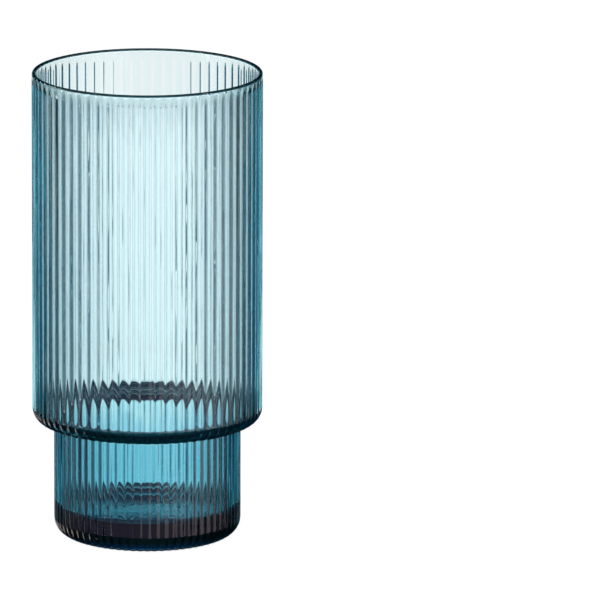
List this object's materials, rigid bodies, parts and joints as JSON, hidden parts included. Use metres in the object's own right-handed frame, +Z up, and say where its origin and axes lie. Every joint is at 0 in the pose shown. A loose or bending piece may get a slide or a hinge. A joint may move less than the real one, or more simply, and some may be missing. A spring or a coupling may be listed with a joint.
{
  "type": "reeded glass vase",
  "caption": "Round, open-topped vase of tinted reeded glass: a straight ribbed bowl that steps in to a narrower ribbed foot with a thick base.",
  "frame": {"origin": "on the vase's axis at the level of the ring it stands on", "axes": "+Z up along the axis from the base to the mouth; a rib's crest faces -Y"},
  "size_m": [0.076, 0.076, 0.1559],
  "materials": {
    "teal_glass": "clear blue-green tinted glass, glossy and fire polished, ribbed outside and smooth inside"
  },
  "bodies": {
    "root": {"rim": "teal_glass", "bowl": "teal_glass", "shoulder": "teal_glass", "foot": "teal_glass", "base": "teal_glass"}
  },
  "joints": []
}
